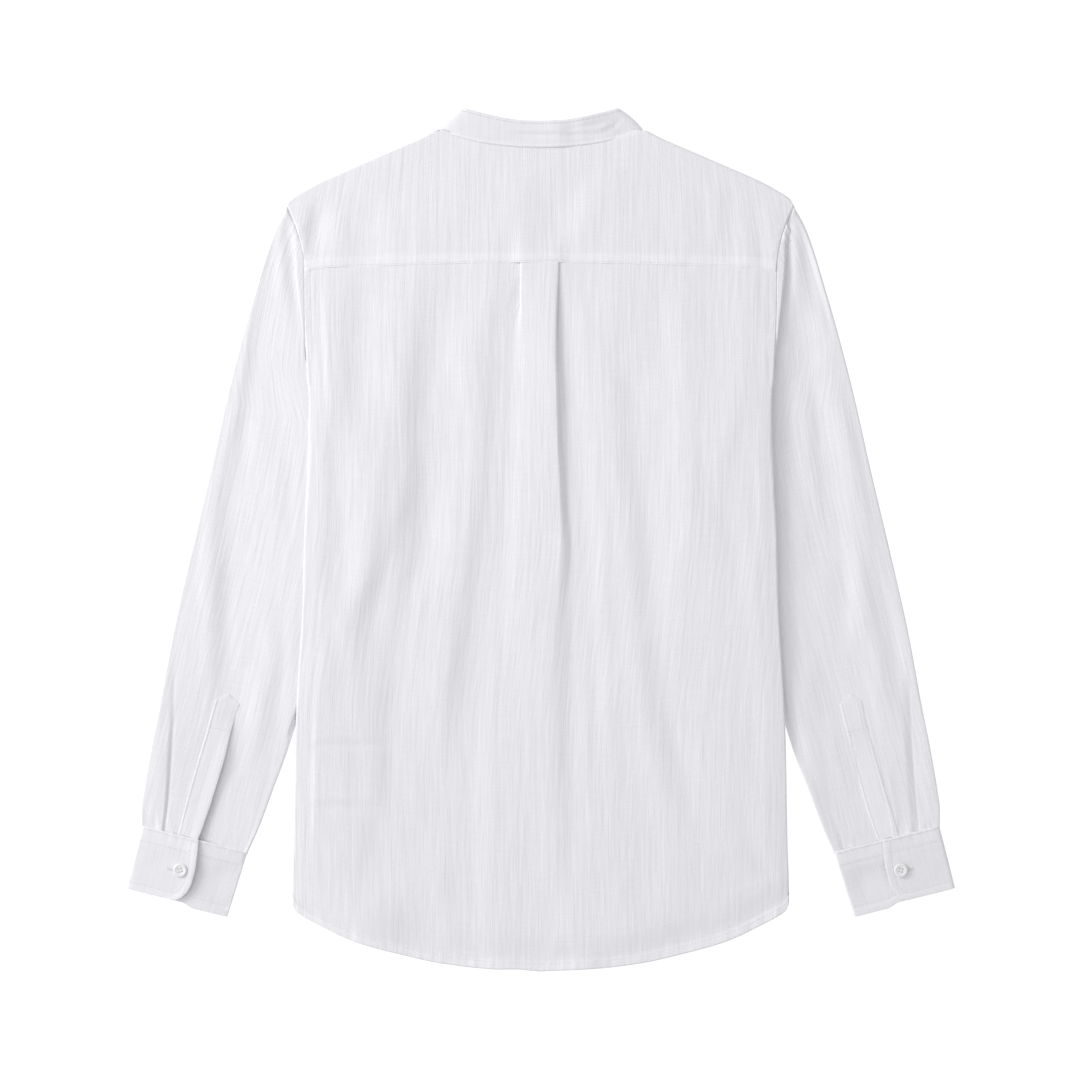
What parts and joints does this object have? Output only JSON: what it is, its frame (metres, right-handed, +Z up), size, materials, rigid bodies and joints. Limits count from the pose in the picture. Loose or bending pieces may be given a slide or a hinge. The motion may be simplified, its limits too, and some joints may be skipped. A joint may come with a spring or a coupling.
{
  "type": "henley shirt",
  "caption": "Long-sleeved shirt with a stand collar, back yoke, box pleat, pointed sleeve plackets and a curved hem, laid flat with its back up.",
  "frame": {"origin": "the middle of the shirt's outline, on the surface that it lies on", "axes": "+Z up out of the surface, towards a viewer who sees the back; +Y up the back towards the collar; +X to that viewer's right"},
  "size_m": [0.773, 0.8044, 0.014],
  "materials": {
    "cloth": "plain-woven white linen, matte, with slubs",
    "button": "white, softly glossy"
  },
  "bodies": {
    "root": {"back_panel": "cloth", "yoke": "cloth", "front_panel": "cloth", "front_placket": "cloth", "front_placket_under": "cloth", "collar_band": "cloth", "sleeve_left": "cloth", "sleeve_right": "cloth", "sleeve_placket_left": "cloth", "sleeve_placket_right": "cloth", "cuff_left": "cloth", "cuff_right": "cloth", "front_button_1": "button", "front_button_2": "button", "front_button_3": "button", "cuff_button_left": "button", "cuff_button_right": "button"}
  },
  "joints": []
}
